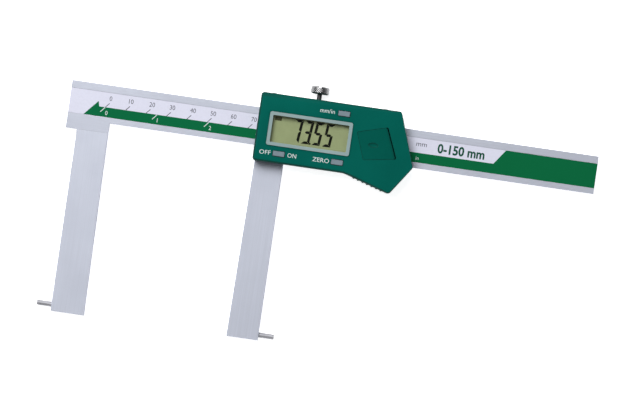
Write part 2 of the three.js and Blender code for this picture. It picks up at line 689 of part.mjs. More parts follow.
/** The spaces in the housing for the slider frame, the beam, the moving leg and the board. */
function makeHousingHollows(innerFront) {
  const { left, right, bottom, top } = {
    left: FRAME_LEFT - RUNNING_GAP,
    right: FRAME_RIGHT + RUNNING_GAP,
    bottom: FRAME_BOTTOM - RUNNING_GAP,
    top: FRAME_TOP + RUNNING_GAP,
  };
  const legRight = MOVING_LEG_OUTER + BEAM_CLEARANCE;
  const shelf = HOUSING_CORNERS[0][1] + SIDE_WALL;
  const beamSides = [BEAM_BOTTOM - BEAM_CLEARANCE, BEAM_CLEARANCE];
  return [
    box([left, right], [bottom, top], [-FAR, BOARD_BACK_Z]),
    box([-FAR, FAR], beamSides, [-FAR, BOARD_BACK_Z]),
    box([-FAR, legRight], [-FAR, FRAME_BOTTOM], [-FAR, LEG_THICKNESS + LEG_CLEARANCE]),
    plate(offset(HOUSING_CORNERS, -SIDE_WALL), [BOARD_BACK_Z - 0.01, innerFront])
      .subtract(box([-FAR, FAR], [-FAR, shelf], [-FAR, FAR])),
  ];
}

/** The slots that the two battery contacts lie in. */
function makeContactSlots() {
  const [x, y] = BATTERY_CENTRE;
  const { left, sideRight, floorFrontZ, sideFrontZ, clearance } = CONTACT_SLOTS;
  const { near, far } = POSITIVE_CONTACT;
  const half = NEGATIVE_CONTACT.halfWidth + clearance;
  const side = [y + near - clearance, y + far + clearance];
  return [
    box([x - left, x], [y - half, y + half], [WELL_FLOOR_Z, floorFrontZ]),
    box([x - left, x - sideRight], side, [WELL_FLOOR_Z, sideFrontZ]),
  ];
}

function makeHousing() {
  const innerFront = HOUSING_FRONT_Z - FRONT_WALL;
  const root = innerFront + 0.2;
  const [batteryX, batteryY] = BATTERY_CENTRE;
  const atBattery = (z) => [batteryX, batteryY, z];
  const well = rod(atBattery(WELL_BACK_Z), atBattery(root), WELL_RADIUS + WELL_WALL, undefined, 40);
  const wellBore = rod(atBattery(WELL_FLOOR_Z), atBattery(FAR), WELL_RADIUS, undefined, 40);
  const screwPlaces = Object.values(HOUSING_SCREWS);
  const bosses = screwPlaces.map(([x, y]) =>
    rod([x, y, BOARD_BACK_Z], [x, y, root], BOSS_RADIUS, undefined, 20));
  const bossHoles = screwPlaces.map(([x, y]) =>
    rod([x, y, 0], [x, y, BOSS_HOLE_FRONT_Z], HOUSING_SCREW.shank + THREAD_GAP, undefined, 16));

  const coverSeat = plate(COVER_OPENING, [COVER_SEAT_Z, FAR], { radii: COVER_ROUNDING + 0.1 });
  const nailSlotShape = makeNailSlotShape();
  const nailSlot = plate(nailSlotShape, [NAIL_SLOT_FLOOR_Z, COVER_SEAT_Z + 0.2]);
  const nailSlotBack = NAIL_SLOT_FLOOR_Z - NAIL_SLOT_WALL;
  const nailSlotWall = plate(offset(nailSlotShape, NAIL_SLOT_WALL), [nailSlotBack, root]);

  const displayOpening = plate(rectangle(BEZEL, DISPLAY_GAP), [innerFront - 1, FAR], { radii: 1.1 });
  const buttonSlots = Object.values(BUTTONS).map((centre) => {
    const outline = rectangle(around(centre, CAP_WIDTH, CAP_HEIGHT), CAP_SLOT_GAP);
    return plate(outline, [innerFront - 1, FAR], { radii: 0.5 });
  });
  const lockHole = rod([LOCK_X, FRAME_TOP, LOCK_Z], [LOCK_X, FAR, LOCK_Z], LOCK_HOLE_RADIUS, undefined, 20);
  const gibHoles = Object.values(GIB_SCREW_XS).map((x) =>
    rod([x, FRAME_TOP, GIB_SCREW_Z], [x, FAR, GIB_SCREW_Z], GIB_SCREW_RADIUS + 0.25, undefined, 16));

  const hollowed = cut(makeHousingBlock(), ...makeHousingHollows(innerFront));
  const shell = join(hollowed, ...bosses, well, nailSlotWall, ...makeGripRibs());
  const belowBack = box([-FAR, FAR], [-FAR, FAR], [-FAR, HOUSING_BACK_Z]);
  const coverSpaces = [coverSeat, nailSlot, ...makeCoverLugs(COVER_LUG.pocketGap)];
  return cut(shell, belowBack, wellBore, ...coverSpaces, ...makeContactSlots(), displayOpening,
    ...buttonSlots, ...bossHoles, lockHole, ...gibHoles, ...makeGripPockets());
}

// ---------------------------------------------------------------- display, board and buttons

function makeBezel() {
  const ring = plate(rectangle(BEZEL), [BEZEL_BACK_Z, BEZEL_FRONT_Z], { radii: 1.0 });
  const flangeFront = HOUSING_FRONT_Z - FRONT_WALL - DISPLAY_GAP;
  const flange = plate(rectangle(BEZEL, BEZEL_FLANGE), [BEZEL_BACK_Z, flangeFront]);
  const opening = plate(rectangle(BEZEL, -BEZEL_FACE), [0, FAR], { radii: 0.4 });
  const rebate = plate(rectangle(BEZEL, BEZEL_REBATE - BEZEL_FACE), [0, BEZEL_REBATE_Z]);
  return cut(join(ring, flange), opening, rebate);
}

function makeWindow() {
  const front = BEZEL_REBATE_Z - 0.05;
  const inset = BEZEL_FACE - BEZEL_REBATE + DISPLAY_GAP;
  return plate(rectangle(BEZEL, -inset), [front - WINDOW_THICKNESS, front]);
}

function makeLcd() {
  return plate(rectangle(BEZEL, -LCD_INSET), [LCD_BACK_Z, LCD_FRONT_Z]);
}

/** One of the conductive rubber strips between the board and the display glass. */
function makeZebra(y) {
  const ends = [BEZEL.left + ZEBRA.endInset, BEZEL.right - ZEBRA.endInset];
  return box(ends, [y - ZEBRA.width / 2, y + ZEBRA.width / 2], [BOARD_FRONT_Z, LCD_BACK_Z]);
}

function makeBoard() {
  const blank = plate(rectangle(BOARD), [BOARD_BACK_Z, BOARD_FRONT_Z]);
  const onBoard = [HOUSING_SCREWS.upper_left, HOUSING_SCREWS.lower_left];
  const bossHoles = onBoard.map(([x, y]) => rod([x, y, 0], [x, y, FAR], BOSS_HOLE_RADIUS, undefined, 20));
  const screwHoles = Object.values(BOARD_SCREWS).map(([x, y]) =>
    rod([x, y, 0], [x, y, FAR], BOARD_SCREW.shank + SCREW_HOLE_GAP, undefined, 16));
  return cut(blank, ...bossHoles, ...screwHoles);
}

/** A low domed button of metal or resin that sits on the board. */
function makeDome([x, y], radius, height) {
  const steps = 4;
  const profile = [[0, 0]];
  for (let i = 0; i <= steps; i += 1) {
    const angle = (i * Math.PI) / 2 / steps;
    profile.push([i === steps ? 0 : radius * Math.cos(angle), height * Math.sin(angle)]);
  }
  return turned(profile, [x, y, BOARD_FRONT_Z], 'z', 24);
}

function makeButton(centre) {
  const flangeFront = HOUSING_FRONT_Z - FRONT_WALL - BUTTON_FLANGE_GAP;
  const flangeMiddle = flangeFront - BUTTON_FLANGE_THICKNESS / 2;
  const capShape = around(centre, CAP_WIDTH, CAP_HEIGHT);
  const cap = plate(rectangle(capShape), [flangeMiddle - CAP_BEVEL, CAP_FRONT_Z], {
    radii: CAP_ROUNDING,
    bevel: CAP_BEVEL,
  });
  const flangeHeights = [flangeFront - BUTTON_FLANGE_THICKNESS, flangeFront];
  const flange = plate(rectangle(capShape, BUTTON_FLANGE), flangeHeights);
  const stemShape = around(centre, BUTTON_STEM.width, BUTTON_STEM.height);
  const stem = plate(rectangle(stemShape), [BUTTON_STEM_BACK_Z, flangeMiddle]);
  return join(cap, flange, stem);
}

// ---------------------------------------------------------------- battery

function makeBattery() {
  const { radius, rise } = BATTERY_CAP;
  const shoulder = BATTERY_RADIUS - BATTERY_ROUNDING;
  const profile = [
    [0, 0],
    [radius, 0],
    [radius + 0.1, rise],
    [shoulder, rise],
    [BATTERY_RADIUS, rise + BATTERY_ROUNDING],
    [BATTERY_RADIUS, BATTERY_HEIGHT - BATTERY_ROUNDING],
    [shoulder, BATTERY_HEIGHT],
    [0, BATTERY_HEIGHT],
  ];
  return turned(profile, [...BATTERY_CENTRE, BATTERY_BACK_Z], 'z', 36);
}

function makeNegativeContact() {
  const [x, y] = BATTERY_CENTRE;
  const { reach, halfWidth } = NEGATIVE_CONTACT;
  const strip = [WELL_FLOOR_Z + CONTACT_GAP, BATTERY_BACK_Z - CONTACT_GAP];
  return box([BOARD.right - CONTACT_BOARD_LAP, x + reach], [y - halfWidth, y + halfWidth], strip);
}

function makePositiveContact() {
  const [x, y] = BATTERY_CENTRE;
  const { near, far, footFrontZ, frontZ } = POSITIVE_CONTACT;
  const foot = [WELL_FLOOR_Z + CONTACT_GAP, footFrontZ];
  const side = [y + near, y + far];
  const tabX = x - Math.sqrt(BATTERY_RADIUS ** 2 - near ** 2) - 0.05;
  return join(
    box([BOARD.right - CONTACT_BOARD_LAP, tabX], side, foot),
    box([tabX - CONTACT_THICKNESS, tabX], side, [foot[0], frontZ]),
  );
}

function makeBatteryCover() {
  const back = HOUSING_FRONT_Z - COVER_THICKNESS;
  const lid = plate(COVER_CORNERS, [back, HOUSING_FRONT_Z], { radii: COVER_ROUNDING });
  const inset = offset(COVER_CORNERS, [0, -COVER_CHAMFER.width, 0, 0]);
  const chamferFront = HOUSING_FRONT_Z - Math.max(...[inset[1], inset[2]].map(frontFall));
  const chamfer = aboveSlope(inset[2], inset[1], chamferFront, COVER_CHAMFER.degrees);

  const { centre, halfWidth, halfHeight, depth } = COVER_DIMPLE;
  const dimple = new THREE.SphereGeometry(1, 20, 12);
  dimple.scale(halfWidth, halfHeight, depth);
  dimple.translate(...centre, HOUSING_FRONT_Z - frontFall(centre));
  return join(cut(trimFront(lid), chamfer, solid(dimple)), ...makeCoverLugs());
}

// ---------------------------------------------------------------- materials

const finish = (color, roughness, metalness) => ({ color, roughness, metalness });
const STEEL = finish(0xc3c8d2, 0.38, 1.0);
const GROUND_STEEL = finish(0xb4bac4, 0.3, 1.0);
const DARK_STEEL = finish(0x6b6b6e, 0.45, 1.0);
const BRASS = finish(0xb08d4a, 0.35, 1.0);
const TEAL_PLASTIC = finish(0x0b6b5c, 0.42, 0.0);
const GREY_PLASTIC = finish(0xa9b6ba, 0.4, 0.0);
const BUTTON_GREY = finish(0x98a3ab, 0.5, 0.0);
const BOARD_GREEN = finish(0x1f6b3a, 0.55, 0.0);
const LABEL_WHITE = finish(0xe8e8f0, 0.5, 0.0);
const LCD_OLIVE = finish(0xa3ac76, 0.25, 0.0);
const CLEAR = finish(0xf2f6f6, 0.05, 0.0);
const BLACK_RUBBER = finish(0x1a1a1a, 0.8, 0.0);

// ---------------------------------------------------------------- assembly

const caliper = new THREE.Group();
const centreX = (FIXED_PIN_TIP + BEAM_RIGHT) / 2;
const centreY = (KNOB_FRONT_Y + FIXED_LEG_BOTTOM) / 2;
caliper.position.set(-centreX, -centreY, 0);

/** Adds one named piece with a material of its own. */
function add(name, body, look) {
  const mesh = new THREE.Mesh(geometryOf(body), new THREE.MeshStandardMaterial(look));
  mesh.name = name;
  caliper.add(mesh);
}

add('beam', makeBeam(STOP_SCREWS), STEEL);
add('scale_grid_strip', makeStrip(GROOVE_FLOOR_Z, GRID_FRONT_Z), BOARD_GREEN);
add('scale_label', makeStrip(GRID_FRONT_Z, LABEL_FRONT_Z), LABEL_WHITE);
add('fixed_leg', makeFixedLeg(), STEEL);
add('fixed_pin', makePin(FIXED_PIN_TIP, FIXED_LEG_OUTER, FIXED_PIN_Y, 1), GROUND_STEEL);
add('end_stop', makeEndStop(), STEEL);
add('end_stop_screw_left', makeStopScrew(STOP_SCREWS[0]), DARK_STEEL);
add('end_stop_screw_right', makeStopScrew(STOP_SCREWS[1]), DARK_STEEL);

add('slider_frame', makeSliderFrame(), STEEL);
add('moving_leg', makeMovingLeg(), STEEL);
add('moving_pin', makePin(MOVING_PIN_TIP, MOVING_LEG_OUTER, MOVING_PIN_Y, -1), GROUND_STEEL);
add('gib_strip', makeGibStrip(), BRASS);
for (const [side, x] of Object.entries(GIB_SCREW_XS)) add(`gib_screw_${side}`, makeGibScrew(x), DARK_STEEL);
add('lock_pad', makeLockPad(), BRASS);
add('lock_screw', makeLockScrew(), GROUND_STEEL);

add('housing', makeHousing(), TEAL_PLASTIC);
for (const [place, centre] of Object.entries(HOUSING_SCREWS)) {
  add(`housing_screw_${place}`, makePanScrew(centre, HOUSING_SCREW), DARK_STEEL);
}
add('display_bezel', makeBezel(), GREY_PLASTIC);
add('display_window', makeWindow(), CLEAR);
add('lcd_panel', makeLcd(), LCD_OLIVE);
add('zebra_strip_upper', makeZebra(BEZEL.top - ZEBRA.inset), BLACK_RUBBER);
add('zebra_strip_lower', makeZebra(BEZEL.bottom + ZEBRA.inset), BLACK_RUBBER);
add('main_board', makeBoard(), BOARD_GREEN);
for (const [place, centre] of Object.entries(BOARD_SCREWS)) {
  add(`board_screw_${place}`, makePanScrew(centre, BOARD_SCREW), DARK_STEEL);
}
add('controller_blob', makeDome(CONTROLLER.centre, CONTROLLER.radius, CONTROLLER.height), BLACK_RUBBER);
for (const [use, centre] of Object.entries(BUTTONS)) {
  add(`${use}_switch_dome`, makeDome(centre, DOME_RADIUS, DOME_HEIGHT), GROUND_STEEL);
  add(`${use}_button`, makeButton(centre), BUTTON_GREY);
}
add('battery', makeBattery(), GROUND_STEEL);
add('battery_contact_negative', makeNegativeContact(), BRASS);
add('battery_contact_positive', makePositiveContact(), BRASS);
add('battery_cover', makeBatteryCover(), TEAL_PLASTIC);

export default caliper;
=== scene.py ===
import math

import bmesh
import bpy
from mathutils import Matrix, Vector


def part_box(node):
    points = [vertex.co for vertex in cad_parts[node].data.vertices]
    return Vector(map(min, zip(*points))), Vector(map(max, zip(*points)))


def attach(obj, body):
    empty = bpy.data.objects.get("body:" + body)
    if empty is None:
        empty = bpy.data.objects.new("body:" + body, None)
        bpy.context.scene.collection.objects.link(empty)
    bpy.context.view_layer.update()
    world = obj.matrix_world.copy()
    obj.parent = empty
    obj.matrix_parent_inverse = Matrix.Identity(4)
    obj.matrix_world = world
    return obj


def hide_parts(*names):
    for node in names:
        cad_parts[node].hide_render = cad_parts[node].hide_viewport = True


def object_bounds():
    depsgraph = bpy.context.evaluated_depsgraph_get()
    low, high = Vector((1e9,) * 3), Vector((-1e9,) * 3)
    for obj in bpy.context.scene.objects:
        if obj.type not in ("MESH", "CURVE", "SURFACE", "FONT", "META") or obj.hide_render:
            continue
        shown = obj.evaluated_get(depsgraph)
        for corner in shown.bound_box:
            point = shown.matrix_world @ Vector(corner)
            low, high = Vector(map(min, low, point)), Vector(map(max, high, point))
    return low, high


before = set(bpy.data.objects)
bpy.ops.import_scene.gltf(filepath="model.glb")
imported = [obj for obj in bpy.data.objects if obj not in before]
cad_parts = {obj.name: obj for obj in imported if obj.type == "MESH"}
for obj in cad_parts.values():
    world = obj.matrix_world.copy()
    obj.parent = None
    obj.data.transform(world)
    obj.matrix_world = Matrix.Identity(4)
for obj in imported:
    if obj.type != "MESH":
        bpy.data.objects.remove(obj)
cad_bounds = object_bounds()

MM = 0.001

# ---------------------------------------------------------------- places, worked out from the frame

beam_low, beam_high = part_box("beam")
label_low, label_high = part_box("scale_label")
lcd_low, lcd_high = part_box("lcd_panel")
housing_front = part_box("housing")[1].z

BEAM_BEFORE_ZERO = 17.7 * MM
SCALE_ZERO = beam_low.x + BEAM_BEFORE_ZERO
PRINT_THICKNESS = 0.012 * MM


def along_scale(millimetres):
    """The X of a mark on the beam, counted from the scale's zero."""
    return SCALE_ZERO + millimetres * MM


def down_beam(millimetres):
    """The Y of a line on the beam's face, counted down from its top edge."""
    return beam_high.y - millimetres * MM


# ---------------------------------------------------------------- materials

STEEL = (0.472, 0.494, 0.568)
WORN_STEEL = (0.70, 0.72, 0.76)
STEEL_ROUGHNESS = 0.50
STEEL_METALLIC = 0.55
RUBBER_ROUGHNESS = 0.62
WHITE = (1.0, 1.0, 1.0, 1.0)
TEAL_SHEEN = (0.05, 0.80, 0.65, 1.0)
GREEN_SHEEN = (0.05, 0.9, 0.5, 1.0)
GRAIN_SIZE = 0.22 * MM
NOISE_ROUGHNESS = 0.55
DEEP_SHADE = 0.40
OPEN_SHADE = 0.96


class Look:
    """A material with one Principled shader, and short ways to drive it with procedural nodes."""

    def __init__(self, name, colour, roughness, metallic=0.0, **sockets):
        self.material = bpy.data.materials.new(name)
        self.material.use_nodes = True
        self.tree = self.material.node_tree
        self.shader = self.tree.nodes["Principled BSDF"]
        self.set("Base Color", (*colour, 1.0))
        self.set("Roughness", roughness)
        self.set("Metallic", metallic)
        for socket, value in sockets.items():
            self.set(socket.replace("_", " "), value)
        self.place = self.node("ShaderNodeTexCoord").outputs["Object"]

    def set(self, socket, value):
        """Sets one of the shader's own sockets."""
        self.shader.inputs[socket].default_value = value

    def node(self, kind, **settings):
        """Makes a node with its settings."""
        made = self.tree.nodes.new(kind)
        for key, value in settings.items():
            setattr(made, key, value)
        return made

    def link(self, source, target):
        """Links a node's output to another's input."""
        self.tree.links.new(source, target)

    def noise(self, scale, stretch=(1.0, 1.0, 1.0), detail=3.0):
        """Noise with `scale` features per metre, multiplied on each axis by `stretch`."""
        mapping = self.node("ShaderNodeMapping")
        self.link(self.place, mapping.inputs["Vector"])
        mapping.inputs["Scale"].default_value = [scale * s for s in stretch]
        texture = self.node("ShaderNodeTexNoise")
        self.link(mapping.outputs["Vector"], texture.inputs["Vector"])
        texture.inputs["Scale"].default_value = 1.0
        texture.inputs["Detail"].default_value = detail
        texture.inputs["Roughness"].default_value = NOISE_ROUGHNESS
        return texture.outputs["Fac"]

    def cells(self, scale):
        """Distance to the nearest of `scale` cells per metre."""
        mapping = self.node("ShaderNodeMapping")
        self.link(self.place, mapping.inputs["Vector"])
        mapping.inputs["Scale"].default_value = [scale] * 3
        texture = self.node("ShaderNodeTexVoronoi", feature="F1")
        self.link(mapping.outputs["Vector"], texture.inputs["Vector"])
        texture.inputs["Scale"].default_value = 1.0
        return texture.outputs["Distance"]

    def spread(self, source, low_in, high_in, low_out, high_out):
        """Maps a range of one value onto another, held at both ends."""
        made = self.node("ShaderNodeMapRange", clamp=True)
        for socket, value in (
            ("From Min", low_in),
            ("From Max", high_in),
            ("To Min", low_out),
            ("To Max", high_out),
        ):
            made.inputs[socket].default_value = value
        self.link(source, made.inputs["Value"])
        return made.outputs["Result"]

    def combine(self, operation, first, second):
        """Does arithmetic on two values, each a number or a socket."""
        made = self.node("ShaderNodeMath", operation=operation)
        for socket, value in zip(made.inputs, (first, second)):
            if isinstance(value, (int, float)):
                socket.default_value = value
            else:
                self.link(value, socket)
        return made.outputs["Value"]

    def blend(self, factor, first, second):
        """Mixes two colours, each a triple or a socket."""
        made = self.node("ShaderNodeMix", data_type="RGBA")
        self.link(factor, made.inputs["Factor"])
        for socket, value in ((made.inputs[6], first), (made.inputs[7], second)):
            if isinstance(value, tuple):
                socket.default_value = (*value, 1.0)
            else:
                self.link(value, socket)
        return made.outputs[2]

    def edges(self, reach_mm=0.25, slight=0.97, sharp=0.80):
        """0 on flat faces, rising to 1 on edges, within a short reach."""
        rounded = self.node("ShaderNodeBevel", samples=4)
        rounded.inputs["Radius"].default_value = reach_mm * MM
        face = self.node("ShaderNodeNewGeometry").outputs["Normal"]
        turn = self.node("ShaderNodeVectorMath", operation="DOT_PRODUCT")
        self.link(rounded.outputs["Normal"], turn.inputs[0])
        self.link(face, turn.inputs[1])
        return self.spread(turn.outputs["Value"], slight, sharp, 0.0, 1.0)

    def slopes(self, flat=0.99, sloped=0.88):
        """0 where a face looks along Z, rising to 1 on chamfers and sides; the mask for painted shade."""
        split = self.node("ShaderNodeSeparateXYZ")
        facing = self.node("ShaderNodeTexCoord").outputs["Normal"]
        self.link(facing, split.inputs["Vector"])
        return self.spread(split.outputs["Z"], flat, sloped, 0.0, 1.0)

    def crevices(self, reach_mm=1.4):
        """0 on open faces, rising to 1 in narrow gaps and inside corners; the mask for painted shade."""
        shade = self.node("ShaderNodeAmbientOcclusion", samples=6)
        shade.inputs["Distance"].default_value = reach_mm * MM
        return self.spread(shade.outputs["AO"], DEEP_SHADE, OPEN_SHADE, 1.0, 0.0)

    def colour(self, source):
        """Drives the base colour."""
        self.link(source, self.shader.inputs["Base Color"])

    def roughness(self, source):
        """Drives the roughness."""
        self.link(source, self.shader.inputs["Roughness"])

    def bump(self, height, distance, strength):
        """Adds fine relief that is too small to model."""
        made = self.node("ShaderNodeBump")
        made.inputs["Strength"].default_value = strength
        made.inputs["Distance"].default_value = distance
        self.link(height, made.inputs["Height"])
        self.link(made.outputs["Normal"], self.shader.inputs["Normal"])


def shaded(colour, factor):
    """A colour made darker or lighter by a factor."""
    return tuple(min(1.0, c * factor) for c in colour)


def ground_steel(name, colour, along):
    """Satin ground steel: fine grain along one axis, cloudy smudges, stray scratches, bright worn edges.

    It is only part metallic, so that its broad faces stay grey where they mirror the lamp."""
    look = Look(name, colour, STEEL_ROUGHNESS, metallic=STEEL_METALLIC)
    lengthwise = {"x": (0.006, 1.0, 1.0), "y": (1.0, 0.006, 1.0)}[along]
    crosswise = {"x": (0.25, 0.02, 0.25), "y": (0.02, 0.25, 0.25)}[along]
    fine = look.noise(9000.0, lengthwise, detail=2.0)
    coarse = look.noise(1600.0, lengthwise, detail=3.0)
    smudge = look.noise(55.0, detail=4.0)
    stray = look.spread(look.noise(2600.0, crosswise, detail=1.0), 0.69, 0.73, 0.0, 1.0)
    streaks = look.combine("ADD", look.combine("MULTIPLY", fine, 0.5), look.combine("MULTIPLY", coarse, 0.5))
    tone = look.blend(look.spread(streaks, 0.35, 0.65, 0.0, 1.0), shaded(colour, 0.91), shaded(colour, 1.05))
    clouded = look.blend(look.spread(smudge, 0.35, 0.70, 0.0, 0.5), tone, shaded(colour, 0.93))
    look.colour(look.blend(look.combine("MULTIPLY", look.edges(), 0.6), clouded, WORN_STEEL))
    smooth, rough = STEEL_ROUGHNESS - 0.06, STEEL_ROUGHNESS + 0.08
    look.roughness(look.combine("ADD", look.spread(streaks, 0.3, 0.7, smooth, rough),
                                look.spread(smudge, 0.35, 0.75, 0.0, 0.09)))
    height = look.combine("SUBTRACT", streaks, look.combine("MULTIPLY", stray, 0.35))
    look.bump(height, 0.002 * MM, 0.5)
    return look.material


def turned_metal(name, colour, roughness, metallic=1.0):
    """Turned or plated metal: fine grain, patches of tarnish, bright edges."""
    look = Look(name, colour, roughness, metallic)
    grain = look.noise(5200.0, (1.0, 0.25, 1.0), detail=2.0)
    tarnish = look.noise(420.0, detail=4.0)
    base = look.blend(look.spread(tarnish, 0.35, 0.7, 0.0, 0.7), colour, shaded(colour, 0.72))
    look.colour(look.blend(look.edges(0.12), base, shaded(colour, 1.25)))
    look.roughness(look.spread(grain, 0.3, 0.7, roughness - 0.06, roughness + 0.12))
    look.bump(grain, 0.003 * MM, 0.5)
    return look.material


def moulded_plastic(name, colour, roughness, tint, edge_light, slope_shade, gap_shade, grain_mm):
    """Moulded plastic: spark-eroded grain, handling shine, paler edges that are part rubbed wear and part
    painted highlight, and painted shade on slopes and in gaps.
    """
    look = Look(name, colour, roughness, Specular_IOR_Level=0.10, Specular_Tint=tint)
    grain = look.cells(1.0 / GRAIN_SIZE)
    fine = look.noise(2600.0, detail=3.0)
    handling = look.noise(48.0, detail=4.0)
    shade = look.blend(look.spread(handling, 0.3, 0.72, 0.0, 1.0), shaded(colour, 0.9), shaded(colour, 1.1))
    speck = look.blend(look.spread(fine, 0.35, 0.7, 0.0, 0.35), shade, shaded(colour, 0.82))
    # Painted highlight: edges and creases are lightened in the colour, partly as rubbed wear and partly
    # standing in for light caught on them.
    pale = tuple(c * edge_light + 0.01 for c in colour)
    rubbed = look.blend(look.combine("MULTIPLY", look.edges(0.35, 0.998, 0.93), 0.6), speck, pale)
    # Painted shade: chamfers and sides are darkened by slope_shade, standing in for less light reaching
    # them.
    rim = look.blend(look.slopes(), rubbed, tuple(c * slope_shade + 0.006 for c in colour))
    # Painted shade: narrow gaps and inside corners are darkened by gap_shade.
    look.colour(look.blend(look.crevices(), rim, shaded(colour, gap_shade)))
    look.roughness(look.combine("ADD", look.spread(handling, 0.3, 0.7, roughness - 0.06, roughness + 0.05),
                                look.spread(fine, 0.3, 0.7, -0.03, 0.05)))
    look.bump(look.combine("ADD", grain, look.combine("MULTIPLY", fine, 0.6)), grain_mm * MM, 0.45)
    return look.material


def printed_film(name, colour, roughness, tint=WHITE):
    """Ink on a laminated film: nearly flat, with faint mottling and a slight orange-peel surface."""
    look = Look(name, colour, roughness, Specular_IOR_Level=0.06, Specular_Tint=tint)
    mottle = look.noise(900.0, detail=3.0)
    haze = look.noise(60.0, detail=3.0)
    ink = look.blend(look.spread(mottle, 0.35, 0.7, 0.0, 0.35), colour, shaded(colour, 0.88))
    look.colour(look.blend(look.spread(haze, 0.4, 0.75, 0.0, 0.25), ink, shaded(colour, 1.06)))
    look.roughness(look.spread(haze, 0.3, 0.7, roughness - 0.05, roughness + 0.08))
    look.bump(mottle, 0.003 * MM, 0.3)
    return look.material


def display_glass():
    """Reflective olive display: a pale even ground with the faint cloudiness of its back reflector."""
    colour = (0.415, 0.480, 0.240)
    look = Look("lcd_ground", colour, 0.32, Specular_IOR_Level=0.2)
    cloud = look.noise(130.0, detail=4.0)
    fleck = look.noise(7000.0, detail=1.0)
    ground = look.blend(look.spread(cloud, 0.35, 0.7, 0.0, 1.0), shaded(colour, 0.94), shaded(colour, 1.06))
    look.colour(look.blend(look.spread(fleck, 0.4, 0.7, 0.0, 0.25), ground, shaded(colour, 0.85)))
    look.roughness(look.spread(fleck, 0.3, 0.7, 0.28, 0.38))
    return look.material


def clear_window():
    """Thin clear acrylic, with hairline scratches in its gloss."""
    look = Look("clear_acrylic", (0.02, 0.02, 0.02), 0.06, Alpha=0.08)
    hair = look.noise(1500.0, (0.05, 1.0, 1.0), detail=1.0)
    look.roughness(look.spread(hair, 0.66, 0.74, 0.05, 0.22))
    return look.material


def circuit_board():
    """Green solder mask over a faint weave and paler copper areas."""
    look = Look("circuit_board", (0.03, 0.16, 0.06), 0.42)
    weave = look.noise(2400.0, (1.0, 0.2, 1.0), detail=2.0)
    pour = look.spread(look.noise(260.0, detail=1.0), 0.48, 0.5, 0.0, 1.0)
    look.colour(look.blend(pour, (0.02, 0.13, 0.05), (0.05, 0.22, 0.09)))
    look.roughness(look.spread(weave, 0.3, 0.7, 0.34, 0.5))
    look.bump(look.combine("ADD", weave, pour), 0.01 * MM, 0.4)
    return look.material


def soft_rubber(name, colour):
    """Moulded rubber: dusty, slightly worn, with painted shade where it meets its slot."""
    look = Look(name, colour, RUBBER_ROUGHNESS)
    dust = look.noise(3200.0, detail=3.0)
    wear = look.noise(500.0, detail=3.0)
    rubbed = look.blend(look.spread(wear, 0.35, 0.7, 0.0, 0.5), colour, shaded(colour, 0.85))
    # Painted shade: gaps and inside corners are darkened to 0.3 of the colour.
    look.colour(look.blend(look.crevices(0.8), rubbed, shaded(colour, 0.3)))
    look.roughness(look.spread(dust, 0.3, 0.7, RUBBER_ROUGHNESS - 0.1, RUBBER_ROUGHNESS + 0.12))
    look.bump(dust, 0.006 * MM, 0.5)
    return look.material


beam_steel = ground_steel("ground_steel_along_beam", STEEL, "x")
# Painted light: the legs' steel is a brighter copy of the beam's, standing in for more light on the legs.
lit_leg_steel = ground_steel("ground_steel_along_leg", shaded(STEEL, 1.09), "y")
pin_steel = turned_metal("hardened_pin_steel", (0.42, 0.42, 0.45), 0.50, metallic=0.5)
knob_metal = turned_metal("knurled_knob_plating", (0.27, 0.27, 0.275), 0.20)
neck_metal = turned_metal("lock_screw_dark_steel", (0.072, 0.072, 0.075), 0.40)
screw_metal = turned_metal("small_screw_steel", (0.22, 0.22, 0.23), 0.36)
brass = turned_metal("brass", (0.60, 0.42, 0.16), 0.32)
battery_metal = turned_metal("battery_can", (0.62, 0.62, 0.62), 0.25)
teal_plastic = moulded_plastic("teal_housing_plastic", (0.0018, 0.102, 0.079), 0.46, TEAL_SHEEN,
                               edge_light=1.35, slope_shade=0.44, gap_shade=0.25, grain_mm=0.010)
# Painted shade: the cover's teal is a darker copy of the housing's, standing in for less light on the
# housing's right end.
shaded_cover_plastic = moulded_plastic("teal_cover_plastic", (0.0016, 0.087, 0.066), 0.44, TEAL_SHEEN,
                                edge_light=1.35, slope_shade=0.60, gap_shade=0.25, grain_mm=0.010)
bezel_plastic = moulded_plastic("grey_bezel_plastic", (0.275, 0.370, 0.370), 0.36, WHITE,
                                edge_light=1.25, slope_shade=0.85, gap_shade=0.50, grain_mm=0.004)
button_rubber = soft_rubber("grey_button_rubber", (0.175, 0.230, 0.265))
black_rubber = soft_rubber("black_rubber", (0.02, 0.02, 0.02))
board_green = circuit_board()
film_white = printed_film("label_white_film", (0.715, 0.72, 0.84), 0.38)
film_green = printed_film("label_green_ink", (0.0045, 0.132, 0.046), 0.42, GREEN_SHEEN)
ink_dark = printed_film("scale_dark_ink", (0.075, 0.080, 0.100), 0.45)
ink_range = printed_film("range_dark_green_ink", (0.008, 0.075, 0.045), 0.45)
ink_white = printed_film("legend_white_ink", (0.70, 0.76, 0.76), 0.5)
lcd_ground = display_glass()
lcd_ink = printed_film("lcd_segment_black", (0.004, 0.006, 0.002), 0.30)
lcd_ink_faint = printed_film("lcd_segment_faint", (0.080, 0.085, 0.040), 0.30)
window_clear = clear_window()

# ---------------------------------------------------------------- CAD pieces that keep their own shape

WELD_REACH = 0.0005 * MM
FLAT_DEGREES = 0.4
EDGE_DEGREES = 32


